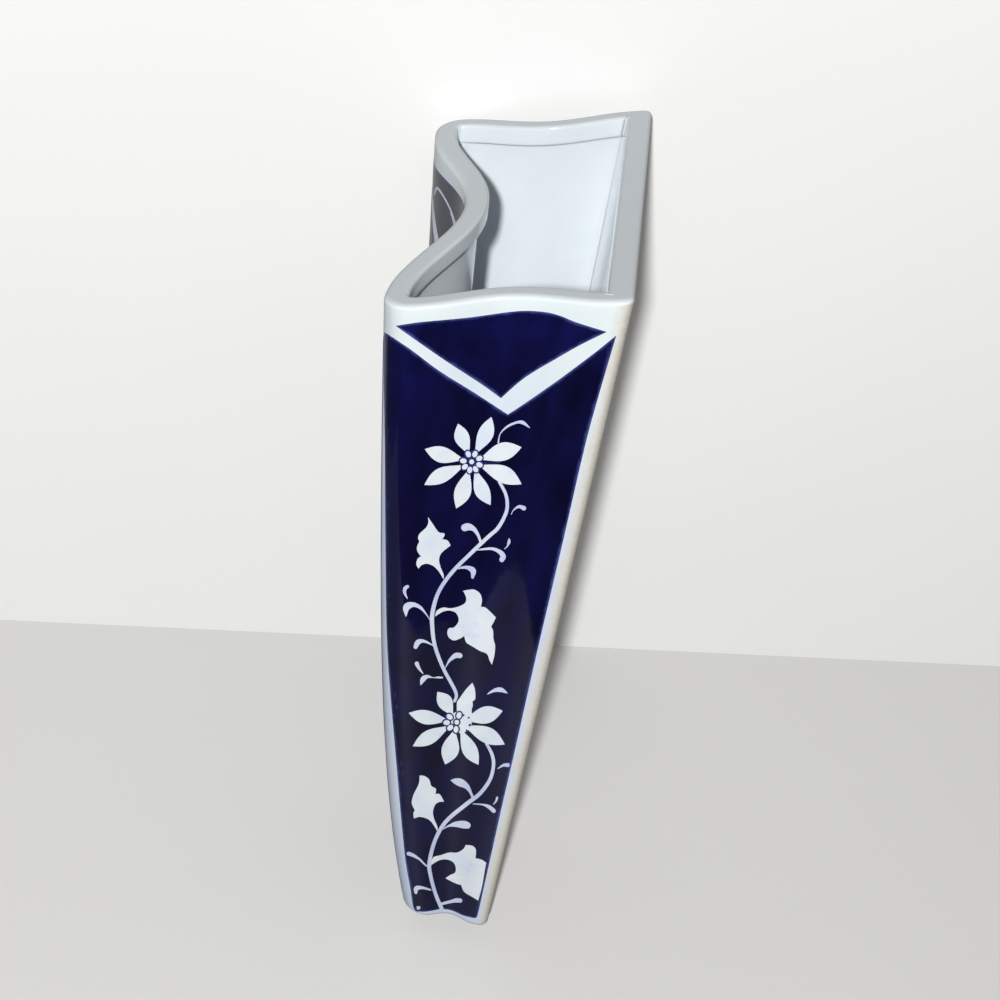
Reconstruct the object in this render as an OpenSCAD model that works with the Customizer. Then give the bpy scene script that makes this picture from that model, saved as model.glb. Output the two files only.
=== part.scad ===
// Hanging wall vase of glazed porcelain, built from slabs of clay.
// A flat back hangs against the wall on one hole. Two bowed side walls and a front that is
// pressed in between rounded corners taper down to a closed foot. A strip of clay stiffens
// the inside of the rim, and a coil of clay is pressed into each upright inner corner.
// The origin is the mouth of the hanging hole on the back face: +Z is up, +Y points into
// the wall behind, and the vase stands out from the wall towards -Y.

/* [Overall size] */
// Height from the foot to the back of the rim
height = 225; // [180:5:270]
// Width over the side walls at the rim
top_width = 105; // [90:1:125]
// Depth from the wall to the front corners at the rim
top_depth = 55; // [46:1:70]
// Width over the side walls at the foot
foot_width = 44; // [36:1:60]
// Depth from the wall to the front corners at the foot
foot_depth = 25; // [21:1:34]
// Drop of the rim from the back to the front corners
rim_drop = 13.9; // [0:0.1:25]

/* [Curves of the walls] */
// Swell of the width halfway down, past a straight taper
width_swell = 7.5; // [0:0.5:12]
// Fullness of the depth past a straight taper, which lies lower down than the width's
depth_swell = 7.2; // [0:0.1:12]
// Depth of the hollow in the front at the rim
front_hollow = 13; // [4:0.5:18]
// Depth of the hollow in the front at the foot
foot_front_hollow = 5; // [1:0.5:7]
// Depth of the hollow in each side at the rim
side_hollow = 4; // [0:0.5:7]
// Depth of the hollow in each side at the foot
foot_side_hollow = 2.2; // [0:0.1:3]
// Outer radius of the two front corners
front_corner_r = 6.5; // [6:0.5:8]
// Outer radius of the two corners that lie against the wall
back_corner_r = 2.4; // [1:0.1:2.6]

/* [Slabs] */
// Thickness of the back slab
back_t = 3.9; // [3:0.1:6]
// Thickness of the front slab
front_t = 3.6; // [2.6:0.1:3.9]
// Thickness of each side slab
side_t = 2.8; // [2.7:0.1:3.9]
// Thickness of the foot
base_t = 4; // [3:0.5:8]
// Rounding of the outer edge of the rim
rim_round = 1.3; // [0.5:0.1:2]
// Rounding of the lower edge of the foot
foot_round = 2.2; // [0.5:0.1:2.5]

/* [Rim strip and coils] */
// Height of the strip inside the rim
lip_height = 5.5; // [4:0.5:10]
// How far the strip stands in from the walls
lip_t = 2; // [1:0.1:2]
// Rounding of the two free edges of the strip
lip_round = 0.9; // [0.3:0.1:0.9]
// Reach of a corner coil along each wall
coil_reach = 7; // [6:0.5:10]

/* [Hanging hole] */
// Radius of the hanging hole
hole_r = 3.5; // [2:0.25:5]
// Height of the top of the back above the middle of the hole
hole_drop = 24; // [16:1:40]

/* [Hidden] */

rim_slope = rim_drop / top_depth;
// Shares of the height, counted down from the rim
strip_end = lip_height / height;
base_start = 1 - base_t / height;
// Steps beside each coil, along a side, along the front, round half a corner, down the body
// and across a coil's face
coil_steps = 3;
side_steps = 16;
front_steps = 26;
corner_steps = 3;
body_steps = 13;
coil_share = 0.4; // most of a side's run that one coil may take up
face_steps = 6;
through = 1; // how far a cut runs past the faces it opens

cobalt = [0.09, 0.10, 0.32];
glaze = [0.92, 0.94, 0.96];
body_grey = [0.80, 0.81, 0.84];

// Levels are given as a share of the way down. The top one lies in the sloping plane of the
// rim, the last one in the level plane of the foot, and those between lean in proportion.
edge_levels = [0, 0.12, 0.4, 1];
rim_levels = [for (e = edge_levels) e * rim_round / height];
strip_levels = concat([for (e = edge_levels) e * lip_round / height],
                      [for (e = [1, 0.4, 0]) strip_end - e * lip_round / height]);
body_levels = [for (i = [0 : body_steps]) blend(strip_end, base_start, i / body_steps)];
wall_levels = concat(rim_levels, body_levels);
base_levels = concat([base_start], [for (e = [1, 0.4, 0.12, 0]) 1 - e * foot_round / height]);

function blend(a, b, share) = a + (b - a) * share;
// Swells that are fullest halfway down and two thirds of the way down
function swell(share) = 4 * share * (1 - share);
function low_swell(share) = share - pow(share, 4);

// Size of the outline at a share u of the height
function width_at(u) = blend(top_width, foot_width, u) + width_swell * swell(u);
function depth_at(u) = blend(top_depth, foot_depth, u) + depth_swell * low_swell(u);
function side_run(u) = depth_at(u) - front_corner_r - back_t;
function front_reach(u) = width_at(u) / 2 - front_corner_r;
function coil_leg(u) = min(coil_reach, coil_share * side_run(u));

// Height of a level v at a distance y from the wall, and the share of the height there
function level_z(v, y) = hole_drop - height * v + rim_slope * y * (1 - v);
function share_at(v, y) = (hole_drop - level_z(v, y)) / height;

// How far a rounded edge draws a face in, at a distance from the edge
function drawn_in(r, from_edge) = from_edge >= r ? 0 : r - sqrt(r * r - pow(r - from_edge, 2));
function rim_inset(v) = drawn_in(rim_round, v * height);
function foot_inset(v) = drawn_in(foot_round, (1 - v) * height);
function lip_depth(v) =
    lip_t - drawn_in(lip_round, v * height) - drawn_in(lip_round, (strip_end - v) * height);

// Step k of n along a wall, from 0 to 1, with the coil's own steps at each end
function station(k, n, leg) =
    k <= coil_steps ? leg * k / coil_steps
    : k >= n - coil_steps ? 1 - leg * (n - k) / coil_steps
    : leg + (1 - 2 * leg) * (k - coil_steps) / (n - 2 * coil_steps);

// Points of the plan at a share u of the height, at a depth d inside the outer face.
// The side runs from the back slab to the front corner.
function side_point(u, k, d) =
    let (run = side_run(u),
         s = station(k, side_steps, coil_leg(u) / run),
         hollow = blend(side_hollow, foot_side_hollow, u),
         lean = PI * hollow * sin(360 * s) / run)
    [width_at(u) / 2 - hollow * (1 - cos(360 * s)) / 2, -back_t - s * run]
    + d * [-1, lean] / norm([1, lean]);

// The corner turns from the side at 0 degrees to the front at 90 degrees.
function corner_point(u, angle, d) =
    [front_reach(u), front_corner_r - depth_at(u)]
    + (front_corner_r - d) * [cos(angle), -sin(angle)];
function corner_t(angle) = blend(side_t, front_t, angle / 90);

// The front runs from the right corner to the left one.
function front_point(u, k, d) =
    let (reach = front_reach(u),
         s = 1 - 2 * station(k, front_steps, coil_leg(u) / (2 * reach)),
         hollow = blend(front_hollow, foot_front_hollow, u),
         lean = -PI * hollow * sin(180 * s) / (2 * reach))
    [s * reach, hollow * (1 + cos(180 * s)) / 2 - depth_at(u)]
    + d * [-lean, 1] / norm([1, lean]);

// The rounded corner against the wall, from the back face at 90 degrees to the side.
function back_corner_point(u, angle, d) =
    [width_at(u) / 2 - back_corner_r, -back_corner_r]
    + (back_corner_r - d) * [cos(angle), sin(angle)];
function slab_edge(u) = width_at(u) / 2 - side_t;

function mirrored(p) = [-p.x, p.y];
function curve_point(a, turn, b, s) =
    (1 - s) * (1 - s) * a + 2 * s * (1 - s) * turn + s * s * b;

// A track is a function of a share u and a level v that gives one point of a section.
// The point is set on its sloping level by steps that settle quickly.
function settle(track, v, u, turns) =
    let (p = track(u, v))
    turns == 0 ? [p.x, p.y, level_z(v, p.y)] : settle(track, v, share_at(v, p.y), turns - 1);
function ring(tracks, v) = [for (track = tracks) settle(track, v, v, 4)];

// Triangles that close a section between its near and its far chain of points. The first
// ones, as many as lead says, turn about the start of the far chain.
function rungs(near, far, lead, i = 0, j = 0) =
    i == near - 1 && j == far - 1 ? []
    : j == far - 1 || (i < near - 1 && (i + 1 - lead) * (far - 1) <= (j + 1) * (near - 1 - lead))
        ? concat([[i, i + 1, near + far - 1 - j]], rungs(near, far, lead, i + 1, j))
        : concat([[i, near + far - 2 - j, near + far - 1 - j]], rungs(near, far, lead, i, j + 1));

// A closed solid through a section of tracks, from the top level down. The cap is a list of
// triangles over the section's points, which may turn about a hub inside the outline.
module loft(outline, cap, levels, hub = []) {
    tracks = concat(outline, hub);
    n = len(tracks);
    m = len(outline);
    last = (len(levels) - 1) * n;
    points = [for (v = levels) each ring(tracks, v)];
    sides = [for (r = [0 : len(levels) - 2], i = [0 : m - 1])
        let (a = r * n + i, b = r * n + (i + 1) % m)
        each [[a, b + n, b], [a, a + n, b + n]]];
    foot_cap = [for (t = cap) [last, last, last] + reversed(t)];
    polyhedron(points, concat(cap, sides, foot_cap));
}

// The same between two chains of tracks that run the same way
module slab(near, far, levels, lead = 0) {
    loft(concat(near, reversed(far)), rungs(len(near), len(far), lead), levels);
}

// Tracks of the right half, from the wall round to the middle of the front corner
half_corner = [for (i = [0 : corner_steps]) 45 * i / corner_steps];
back_turn = [for (i = [0 : corner_steps]) 90 - 90 * i / corner_steps];
function side_outer(inset) = concat(
    [for (a = back_turn) function(u, v) back_corner_point(u, a, inset(v))],
    [for (k = [0 : side_steps]) function(u, v) side_point(u, k, inset(v))],
    [for (i = [1 : corner_steps]) function(u, v) corner_point(u, half_corner[i], inset(v))]);
side_inner = concat(
    [for (k = [0 : side_steps]) function(u, v) side_point(u, k, side_t)],
    [for (i = [1 : corner_steps])
        function(u, v) corner_point(u, half_corner[i], corner_t(half_corner[i]))]);
side_lip = concat(
    [function(u, v) [slab_edge(u), -back_t] - lip_depth(v) * [1, 1]],
    [for (k = [2 : side_steps]) function(u, v) side_point(u, k, side_t + lip_depth(v))],
    [for (i = [1 : corner_steps])
        function(u, v) corner_point(u, half_corner[i], corner_t(half_corner[i]) + lip_depth(v))]);

// Tracks of the front, from the middle of one corner to the middle of the other
function corner_half(depth) =
    [for (i = [0 : corner_steps - 1])
        let (a = 45 + half_corner[i]) function(u, v) corner_point(u, a, depth(a, v))];
function front_line(depth) =
    let (right = corner_half(depth))
    concat(right,
           [for (k = [0 : front_steps]) function(u, v) front_point(u, k, depth(90, v))],
           [for (i = [corner_steps - 1 : -1 : 0]) function(u, v) mirrored(right[i](u, v))]);
front_outer = front_line(function(a, v) rim_inset(v));
front_inner = front_line(function(a, v) corner_t(a));
front_lip = front_line(function(a, v) corner_t(a) + lip_depth(v));

function reversed(list) = [for (i = [len(list) - 1 : -1 : 0]) list[i]];
function across(tracks) = [for (track = reversed(tracks)) function(u, v) mirrored(track(u, v))];

back_outer = [for (side = [-1, 1]) function(u, v) [side * slab_edge(u), -rim_inset(v)]];
back_inner = [for (side = [-1, 1]) function(u, v) [side * slab_edge(u), -back_t]];
back_lip = [for (side = [-1, 1])
    function(u, v) [side * (slab_edge(u) - lip_depth(v)), -back_t - lip_depth(v)]];

// The outline of the foot and the middle that its two faces are closed about
foot_side = side_outer(function(v) foot_inset(v));
foot_outline = concat(foot_side, front_line(function(a, v) foot_inset(v)), across(foot_side));
foot_middle = function(u, v) [0, -depth_at(u) / 3];

// The free face of a coil is a hollow curve between the ends of its two legs.
function coil_face(a, turn, b) =
    [for (i = [1 : face_steps - 1])
        function(u, v) curve_point(a(u, v), turn(u, v), b(u, v), i / face_steps)];
back_coil_legs = concat([function(u, v) [slab_edge(u) - coil_leg(u), -back_t]],
                        [for (k = [0 : coil_steps]) function(u, v) side_point(u, k, side_t)]);
back_coil_face = coil_face(back_coil_legs[0], function(u, v) [slab_edge(u), -back_t],
                           back_coil_legs[coil_steps + 1]);
front_coil_legs = concat(
    [for (k = [side_steps - coil_steps : side_steps]) function(u, v) side_point(u, k, side_t)],
    [for (i = [1 : 2 * corner_steps - 1])
        let (a = 45 * i / corner_steps) function(u, v) corner_point(u, a, corner_t(a))],
    [for (k = [0 : coil_steps]) function(u, v) front_point(u, k, front_t)]);
front_coil_face = coil_face(front_coil_legs[0],
                            function(u, v) [slab_edge(u), front_t - depth_at(u)],
                            front_coil_legs[len(front_coil_legs) - 1]);

module to_left() {
    mirror([1, 0, 0]) children();
}

module back_wall() {
    color(glaze)
    difference() {
        slab(back_outer, back_inner, wall_levels);
        rotate([90, 0, 0])
            translate([0, 0, -through])
                cylinder(r = hole_r, h = back_t + 2 * through, $fn = 64);
    }
}

module front_wall() {
    color(cobalt) slab(front_outer, front_inner, wall_levels);
}

// The near chain of a side slab begins with its edge and its turn against the wall.
module side_slab() {
    edge = function(u, v) [slab_edge(u), -rim_inset(v)];
    outer = concat([edge], side_outer(function(v) rim_inset(v)));
    slab(outer, side_inner, wall_levels, len(outer) - len(side_inner));
}

module right_wall() {
    color(cobalt) side_slab();
}

module left_wall() {
    color(cobalt) to_left() side_slab();
}

module base() {
    m = len(foot_outline);
    fan = [for (i = [0 : m - 1]) [i, (i + 1) % m, m]];
    color(glaze) loft(foot_outline, fan, base_levels, [foot_middle]);
}

module rim_strip_back() {
    color(body_grey) slab(back_inner, back_lip, strip_levels);
}

module rim_strip_front() {
    color(body_grey) slab(front_inner, front_lip, strip_levels);
}

module rim_strip_right() {
    color(body_grey) slab(side_inner, side_lip, strip_levels, 1);
}

module rim_strip_left() {
    color(body_grey) to_left() slab(side_inner, side_lip, strip_levels, 1);
}

module coil_back_right() {
    color(glaze) slab(back_coil_legs, back_coil_face, body_levels);
}

module coil_back_left() {
    color(glaze) to_left() slab(back_coil_legs, back_coil_face, body_levels);
}

module coil_front_right() {
    color(glaze) slab(front_coil_legs, front_coil_face, body_levels);
}

module coil_front_left() {
    color(glaze) to_left() slab(front_coil_legs, front_coil_face, body_levels);
}

back_wall();
front_wall();
left_wall();
right_wall();
base();
rim_strip_back();
rim_strip_front();
rim_strip_left();
rim_strip_right();
coil_back_left();
coil_back_right();
coil_front_left();
coil_front_right();
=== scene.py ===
import math

import bmesh
import bpy
from mathutils import Matrix, Vector


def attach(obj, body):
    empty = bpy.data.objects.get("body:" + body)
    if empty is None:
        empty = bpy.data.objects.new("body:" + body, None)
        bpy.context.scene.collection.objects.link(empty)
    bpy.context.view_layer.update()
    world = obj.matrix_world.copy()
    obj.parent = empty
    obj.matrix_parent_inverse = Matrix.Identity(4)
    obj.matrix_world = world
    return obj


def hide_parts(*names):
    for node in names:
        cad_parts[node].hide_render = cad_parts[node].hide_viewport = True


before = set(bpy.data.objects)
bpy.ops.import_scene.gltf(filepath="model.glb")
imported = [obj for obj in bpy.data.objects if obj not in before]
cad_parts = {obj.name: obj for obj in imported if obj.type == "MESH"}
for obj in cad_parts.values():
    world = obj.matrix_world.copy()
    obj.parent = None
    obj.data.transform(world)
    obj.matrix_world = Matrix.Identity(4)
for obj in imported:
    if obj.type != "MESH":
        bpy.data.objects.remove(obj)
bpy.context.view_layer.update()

mm = 0.001
weld = 1e-7  # metres, within which two points are one

# the camera of the photograph in the vase's own frame, its place in millimetres
view = {
    "place": (430.4, -23.3, 223.7),
    "right": (-0.0995, 0.9823, 0.1590),
    "up": (-0.5524, -0.1874, 0.8122),
    "lens": 72, "sensor": 36, "width": 1000, "near": 0.01, "far": 20,
}


def viewAxes():  # right, up and back of the camera
    right = Vector(view["right"]).normalized()
    up = Vector(view["up"])
    up = (up - right * up.dot(right)).normalized()
    return right, up, right.cross(up)


def photoPixel(point):  # where a point of the vase, in millimetres, lies in the photograph
    right, up, back = viewAxes()
    ray = point - Vector(view["place"])
    scale = view["width"] * view["lens"] / view["sensor"] / -ray.dot(back)
    return Vector((view["width"] / 2 + scale * ray.dot(right), view["width"] / 2 - scale * ray.dot(up)))


def makeCamera():
    data = bpy.data.cameras.new("camera")
    data.lens = view["lens"]
    data.sensor_width = view["sensor"]
    data.clip_start = view["near"]
    data.clip_end = view["far"]
    camera = bpy.data.objects.new("camera", data)
    bpy.context.scene.collection.objects.link(camera)
    right, up, back = viewAxes()
    turn = Matrix((right, up, back)).transposed().to_4x4()
    camera.matrix_world = Matrix.Translation(Vector(view["place"]) * mm) @ turn
    bpy.context.scene.camera = camera


makeCamera()

# the form of the vase in millimetres, as the clay was cut and bent
form = {
    "height": 225, "holeDrop": 24, "rimDrop": 13.9,
    "topWidth": 105, "footWidth": 44, "widthSwell": 7.5,
    "topDepth": 55, "footDepth": 25, "depthSwell": 7.2,
    "frontHollow": 13, "footFrontHollow": 5,
    "sideHollow": 4, "footSideHollow": 2.2,
    "frontCorner": 6.5, "backCorner": 2.4, "cornerGap": 0.3,
    "backWall": 3.9, "frontWall": 3.6, "sideWall": 2.8, "base": 4,
    "rimRound": 1.3, "footRound": 2.2,
    "lipHeight": 5.5, "lip": 2, "lipRound": 0.9, "lipCorner": 1.2,
    "coil": 7, "coilShare": 0.4, "coilTurn": 0.67, "holeRadius": 3.5,
}
rimSlope = form["rimDrop"] / form["topDepth"]


def blend(a, b, share):
    return a + (b - a) * share


def swell(share):
    return 4 * share * (1 - share)


def lowSwell(share):
    return share - share ** 4


def widthAt(u):
    return blend(form["topWidth"], form["footWidth"], u) + form["widthSwell"] * swell(u)


def depthAt(u):
    return blend(form["topDepth"], form["footDepth"], u) + form["depthSwell"] * lowSwell(u)


def sideRun(u):
    return depthAt(u) - form["frontCorner"] - form["backWall"]


def frontReach(u):
    return widthAt(u) / 2 - form["frontCorner"]


def slabEdge(u):
    return widthAt(u) / 2 - form["sideWall"]


def coilLeg(u):
    return min(form["coil"], form["coilShare"] * sideRun(u))


def cornerWall(angle):
    return blend(form["sideWall"], form["frontWall"], angle / 90)


def sidePoint(u, s, d):  # s runs from the back slab, 0, to the front corner, 1
    run = sideRun(u)
    hollow = blend(form["sideHollow"], form["footSideHollow"], u)
    lean = math.pi * hollow * math.sin(2 * math.pi * s) / run
    size = math.hypot(1, lean)
    x = widthAt(u) / 2 - hollow * (1 - math.cos(2 * math.pi * s)) / 2 - d / size
    return x, -form["backWall"] - s * run + d * lean / size


def cornerPoint(u, angle, d):  # angle runs from the side, 0, to the front, 90
    a = math.radians(angle)
    r = form["frontCorner"] - d
    return frontReach(u) + r * math.cos(a), form["frontCorner"] - depthAt(u) - r * math.sin(a)


def frontPoint(u, s, d):  # s runs from the right corner, 1, to the middle, 0
    reach = frontReach(u)
    hollow = blend(form["frontHollow"], form["footFrontHollow"], u)
    lean = -math.pi * hollow * math.sin(math.pi * s) / (2 * reach)
    size = math.hypot(1, lean)
    y = hollow * (1 + math.cos(math.pi * s)) / 2 - depthAt(u)
    return s * reach - d * lean / size, y + d / size


def backCornerPoint(u, angle, d):  # angle runs from the back, 90, to the side, 0
    a = math.radians(angle)
    r = form["backCorner"] - d
    c = form["backCorner"]
    return widthAt(u) / 2 - c + r * math.cos(a), -c + r * math.sin(a)


# how finely one half of the outline is cut, from the middle of the back to the middle of the front
outlineCut = {"back": 22, "backCorner": 7, "side": 34, "corner": 12, "front": 44}


def halfStations():
    stations = []
    for kind, steps in outlineCut.items():
        for i in range(steps + (kind == "front")):
            stations.append((kind, i / steps))
    return stations


def outerPlan(kind, t, u, d):
    if kind == "back":
        return t * (widthAt(u) / 2 - form["backCorner"]), -d
    if kind == "backCorner":
        return backCornerPoint(u, 90 * (1 - t), d)
    if kind == "side":
        if t == 0:
            return widthAt(u) / 2 - d, -form["backCorner"] - form["cornerGap"]
        return sidePoint(u, t, d)
    if kind == "corner":
        return cornerPoint(u, 90 * t, d)
    return frontPoint(u, 1 - t, d)


def lipPlan(kind, t, u, d):  # the strip's face, d in from the slabs
    r = form["lipCorner"]
    cx = slabEdge(u) - d - r
    cy = -form["backWall"] - d - r
    if kind == "back":
        return t * cx, -form["backWall"] - d
    if kind == "backCorner":
        a = math.radians(90 * (1 - t))
        return cx + r * math.cos(a), cy + r * math.sin(a)
    if kind == "side":
        start = (d + r) / sideRun(u)
        return sidePoint(u, blend(start, 1, t), form["sideWall"] + d)
    if kind == "corner":
        return cornerPoint(u, 90 * t, cornerWall(90 * t) + d)
    return frontPoint(u, 1 - t, form["frontWall"] + d)


def fillet(along, reach):  # how far a pressed coil stands off one wall, along it from the corner
    return reach * (1 - math.sqrt(along / reach)) ** 2 if along < reach else 0


def innerPlan(kind, t, u):
    leg = coilLeg(u)
    turn = form["coilTurn"]  # where the corner's own points take over the coil's face
    start = leg * turn ** 2
    crowding = 1.4  # brings the side's points nearer the coil
    if kind == "back":
        x = t * (slabEdge(u) - start)
        return x, -form["backWall"] - fillet(slabEdge(u) - x, leg)
    if kind == "backCorner":
        q = blend(turn, 1 - turn, t)
        return slabEdge(u) - leg * q * q, -form["backWall"] - leg * (1 - q) ** 2
    run = sideRun(u)
    nook = form["frontCorner"] - cornerWall(45)
    reach = nook + leg
    if kind == "side":
        s = blend(start / run, 1, t ** crowding)
        stand = max(fillet(s * run, leg), fillet((1 - s) * run + nook, reach))
        return sidePoint(u, s, form["sideWall"] + stand)
    if kind == "corner":
        first = math.sqrt(nook / reach)
        q = blend(first, 1 - first, t)
        x = slabEdge(u) - reach * (1 - q) ** 2
        return x, form["frontWall"] - depthAt(u) + reach * q * q
    stand = fillet(t * frontReach(u) + nook, reach)
    return frontPoint(u, 1 - t, form["frontWall"] + stand)


def levelHeight(v, y):
    return form["holeDrop"] - form["height"] * v + rimSlope * y * (1 - v)


def settle(plan, v):  # sets a plan point on its leaning level
    u = v
    rounds = 4
    for step in range(rounds):
        x, y = plan(u)
        z = levelHeight(v, y)
        u = (form["holeDrop"] - z) / form["height"]
    return Vector((x, y, z))


def quarter(r, steps):  # (drawn in, below the edge) round a soft arris, from the face to the top
    turns = [math.radians(90 * i / steps) for i in range(steps + 1)]
    return [(r * (1 - math.cos(a)), r * (1 - math.sin(a))) for a in turns]


# how finely the shell is cut down its height; the pairs are a share of the way and a drop in mm
shellCut = {
    "footSteps": 5, "bodyRings": 96, "rimSteps": 6, "lipSteps": 6,
    "top": (0.2, 0.4, 0.6, 0.8), "lip": (0.25, 0.5, 0.75),
    "under": ((0.35, 0.05), (0.6, 0.15), (0.8, 0.4), (0.93, 0.8)),
    "insideRings": 60, "insideStart": 1.4, "insideEnd": 2,
    "floor": ((0.03, 1.2), (0.08, 0.6), (0.16, 0.2), (0.3, 0)),
}


def shellRings():  # each ring names its surface, its level and how far it is drawn in
    high = form["height"]
    rings = []
    for d, e in reversed(quarter(form["footRound"], shellCut["footSteps"])):
        rings.append(("outer", 1 - e / high, d))
    top = form["rimRound"] / high
    bottom = 1 - form["footRound"] / high
    for i in range(1, shellCut["bodyRings"]):
        rings.append(("outer", blend(bottom, top, i / shellCut["bodyRings"]), 0))
    for d, e in quarter(form["rimRound"], shellCut["rimSteps"]):
        rings.append(("outer", e / high, d))
    for w in shellCut["top"]:
        rings.append(("top", 0, w))
    lipEdge = quarter(form["lipRound"], shellCut["lipSteps"])
    for d, e in reversed(lipEdge):
        rings.append(("lip", e / high, form["lip"] - d))
    for w in shellCut["lip"]:
        e = blend(form["lipRound"], form["lipHeight"] - form["lipRound"], w)
        rings.append(("lip", e / high, form["lip"]))
    for d, e in lipEdge[:-1]:
        rings.append(("lip", (form["lipHeight"] - e) / high, form["lip"] - d))
    under = form["lipHeight"] / high
    for w, e in shellCut["under"]:
        rings.append(("under", under + e / high, w))
    first = under + shellCut["insideStart"] / high
    floor = 1 - form["base"] / high
    last = floor - shellCut["insideEnd"] / high
    for i in range(shellCut["insideRings"]):
        rings.append(("inner", blend(first, last, i / (shellCut["insideRings"] - 1)), 0))
    for w, e in shellCut["floor"]:
        rings.append(("floor", floor - e / high, w))
    return rings


def ringPoint(ring, kind, t, side):
    layer, v, d = ring
    if layer == "outer":
        p = settle(lambda u: outerPlan(kind, t, u, d), v)
    elif layer == "lip":
        p = settle(lambda u: lipPlan(kind, t, u, d), v)
    elif layer == "inner":
        p = settle(lambda u: innerPlan(kind, t, u), v)
    elif layer == "top":
        a = settle(lambda u: outerPlan(kind, t, u, form["rimRound"]), v)
        b = settle(lambda u: lipPlan(kind, t, u, form["lip"] - form["lipRound"]), v)
        p = a.lerp(b, d)
    elif layer == "under":
        a = settle(lambda u: lipPlan(kind, t, u, form["lip"] - form["lipRound"]), v)
        b = settle(lambda u: innerPlan(kind, t, u), v)
        p = a.lerp(b, d)
    else:
        a = settle(lambda u: innerPlan(kind, t, u), v)
        p = a.lerp(Vector((0, -depthAt(v) / 3, a.z)), d)
    return Vector((side * p.x, p.y, p.z)) * mm


def newPiece(name, bm, material, smooth=True):
    mesh = bpy.data.meshes.new(name)
    bm.to_mesh(mesh)
    bm.free()
    piece = bpy.data.objects.new(name, mesh)
    bpy.context.scene.collection.objects.link(piece)
    mesh.materials.append(material)
    for face in mesh.polygons:
        face.use_smooth = smooth
    return piece


def applyModifiers(piece):
    bpy.context.view_layer.update()
    seen = piece.evaluated_get(bpy.context.evaluated_depsgraph_get())
    mesh = bpy.data.meshes.new_from_object(seen)
    piece.modifiers.clear()
    piece.data = mesh


def makeShell(material):
    half = halfStations()
    stations = [(kind, t, 1) for kind, t in half]
    stations += [(kind, t, -1) for kind, t in reversed(half[1:-1])]
    rings = shellRings()
    across, along = len(stations), len(rings) - 1
    bm = bmesh.new()
    insideLayer = bm.verts.layers.float.new("inside")
    bmesh.ops.create_grid(bm, x_segments=across, y_segments=along, size=0.5)
    for vert in bm.verts:
        i = round((vert.co.x + 0.5) * across) % across
        j = round((vert.co.y + 0.5) * along)
        vert.co = ringPoint(rings[j], *stations[i])
        vert[insideLayer] = rings[j][0] in ("lip", "under", "inner", "floor")
    bmesh.ops.remove_doubles(bm, verts=bm.verts, dist=weld)
    openEdges = [edge for edge in bm.edges if edge.is_boundary]
    bmesh.ops.holes_fill(bm, edges=openEdges, sides=0)
    bmesh.ops.recalc_face_normals(bm, faces=bm.faces)
    shell = newPiece("glazedBody", bm, material)
    cutter = makeHoleCutter(material)
    cut = shell.modifiers.new("hangingHole", "BOOLEAN")
    cut.object = cutter
    cut.solver = "EXACT"
    applyModifiers(shell)
    bpy.data.objects.remove(cutter)
    return shell


holeCut = {"flare": 0.6, "collar": 0.4, "skin": 0.2, "overrun": 4, "flareSteps": 4, "turnSteps": 64}


def makeHoleCutter(material):  # a pin with flared ends leaves a hole with soft edges
    r = form["holeRadius"]
    wide = r + holeCut["flare"] + holeCut["collar"]
    skin = holeCut["skin"]
    over = holeCut["overrun"]
    wall = form["backWall"]
    flare = quarter(holeCut["flare"], holeCut["flareSteps"])
    path = [(0, over), (wide, over), (wide, skin)]
    path += [(r + d, -e) for d, e in reversed(flare)]
    path += [(r + d, e - wall) for d, e in flare]
    path += [(wide, -wall - skin), (wide, -wall - over), (0, -wall - over)]
    bm = bmesh.new()
    verts = [bm.verts.new(Vector((x, y, 0)) * mm) for x, y in path]
    edges = [bm.edges.new(pair) for pair in zip(verts, verts[1:])]
    bmesh.ops.spin(bm, geom=verts + edges, cent=(0, 0, 0), axis=(0, 1, 0),
                   angle=2 * math.pi, steps=holeCut["turnSteps"], use_merge=True)
    bmesh.ops.remove_doubles(bm, verts=bm.verts, dist=weld)
    bmesh.ops.recalc_face_normals(bm, faces=bm.faces)
    return newPiece("holeCutter", bm, material, smooth=False)


def newMaterial(name):
    material = bpy.data.materials.new(name)
    material.use_nodes = True
    return material, material.node_tree, material.node_tree.nodes["Principled BSDF"]


def noiseOf(tree, scale, stretch=(1, 1, 1), detail=3):
    place = tree.nodes.new("ShaderNodeTexCoord")
    mapping = tree.nodes.new("ShaderNodeMapping")
    mapping.inputs["Scale"].default_value = stretch
    noise = tree.nodes.new("ShaderNodeTexNoise")
    noise.inputs["Scale"].default_value = scale
    noise.inputs["Detail"].default_value = detail
    tree.links.new(place.outputs["Object"], mapping.inputs["Vector"])
    tree.links.new(mapping.outputs["Vector"], noise.inputs["Vector"])
    return noise.outputs["Fac"]


def partOf(tree, source, axis):  # one axis of the place or the normal
    split = tree.nodes.new("ShaderNodeSeparateXYZ")
    if source == "place":
        place = tree.nodes.new("ShaderNodeTexCoord").outputs["Object"]
    else:
        place = tree.nodes.new("ShaderNodeNewGeometry").outputs["Normal"]
    tree.links.new(place, split.inputs["Vector"])
    return split.outputs[axis]


def spread(tree, value, low, high, start=0, end=1):
    node = tree.nodes.new("ShaderNodeMapRange")
    tree.links.new(value, node.inputs["Value"])
    for name, number in (("From Min", low), ("From Max", high), ("To Min", start), ("To Max", end)):
        node.inputs[name].default_value = number
    return node.outputs["Result"]


def calc(tree, operation, a, b):
    node = tree.nodes.new("ShaderNodeMath")
    node.operation = operation
    for value, socket in zip((a, b), node.inputs):
        if isinstance(value, (int, float)):
            socket.default_value = value
        else:
            tree.links.new(value, socket)
    return node.outputs["Value"]


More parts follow.
